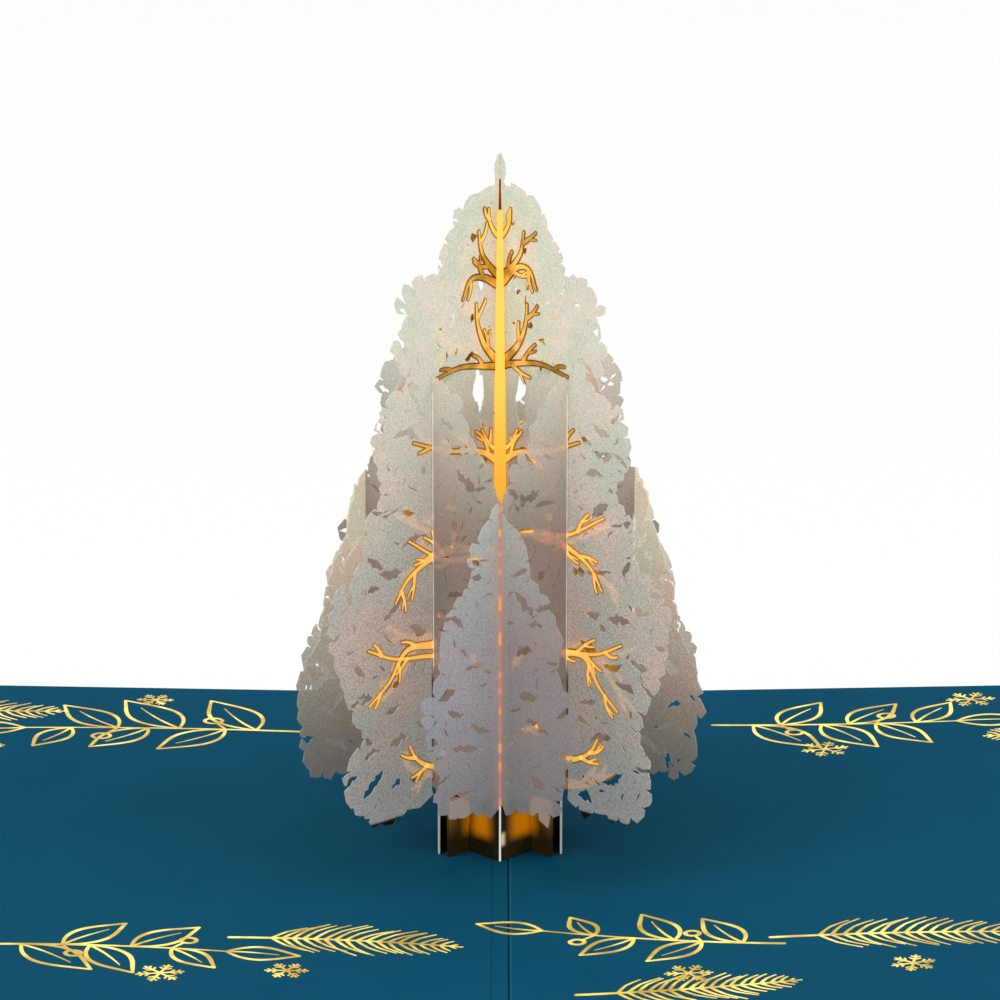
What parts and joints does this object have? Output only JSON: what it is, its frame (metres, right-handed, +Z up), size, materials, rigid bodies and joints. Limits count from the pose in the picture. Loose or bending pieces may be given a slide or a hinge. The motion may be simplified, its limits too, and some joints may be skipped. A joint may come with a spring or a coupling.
{
  "type": "pop up card",
  "caption": "Opened greeting card with a lit tree of slotted vellum sheets and gold branches standing on its fold.",
  "frame": {"origin": "centre of the flat spine land, on the underside of the cover", "axes": "+Z up the tree, +X across the fold to the right panel, +Y along the fold to the back edge"},
  "size_m": [0.254, 0.1778, 0.1214],
  "materials": {
    "card_teal": "smooth deep teal card, satin",
    "vellum": "frosted translucent vellum with fine grain",
    "gold_foil": "gold foil card",
    "gold_card": "dark bronze gold mirror card with a white core",
    "light_guide": "translucent plastic, lit from below",
    "lamp": "warm lamp resin",
    "circuit_board": "thin flexible circuit",
    "cell_steel": "brushed steel",
    "contact_brass": "thin sprung brass"
  },
  "bodies": {
    "root": {"battery_clip": "contact_brass", "button_cell_lower": "cell_steel", "button_cell_upper": "cell_steel", "cover": "card_teal", "front_lamp": "lamp", "gold_tree_a_back": "gold_foil", "gold_tree_a_front": "gold_foil", "gold_tree_b_back": "gold_foil", "gold_tree_b_front": "gold_foil", "guide_lamp": "lamp", "leaf_slice_back_left": "vellum", "leaf_slice_back_right": "vellum", "leaf_slice_centre_a": "vellum", "leaf_slice_centre_b": "vellum", "leaf_slice_front_left": "vellum", "leaf_slice_front_right": "vellum", "light_board": "circuit_board", "light_guide": "light_guide", "side_plate_left": "gold_card", "side_plate_right": "gold_card", "switch_contact": "contact_brass", "trunk_plate_back_left": "gold_card", "trunk_plate_back_right": "gold_card", "trunk_plate_front_left": "gold_card", "trunk_plate_front_right": "gold_card"}
  },
  "joints": []
}
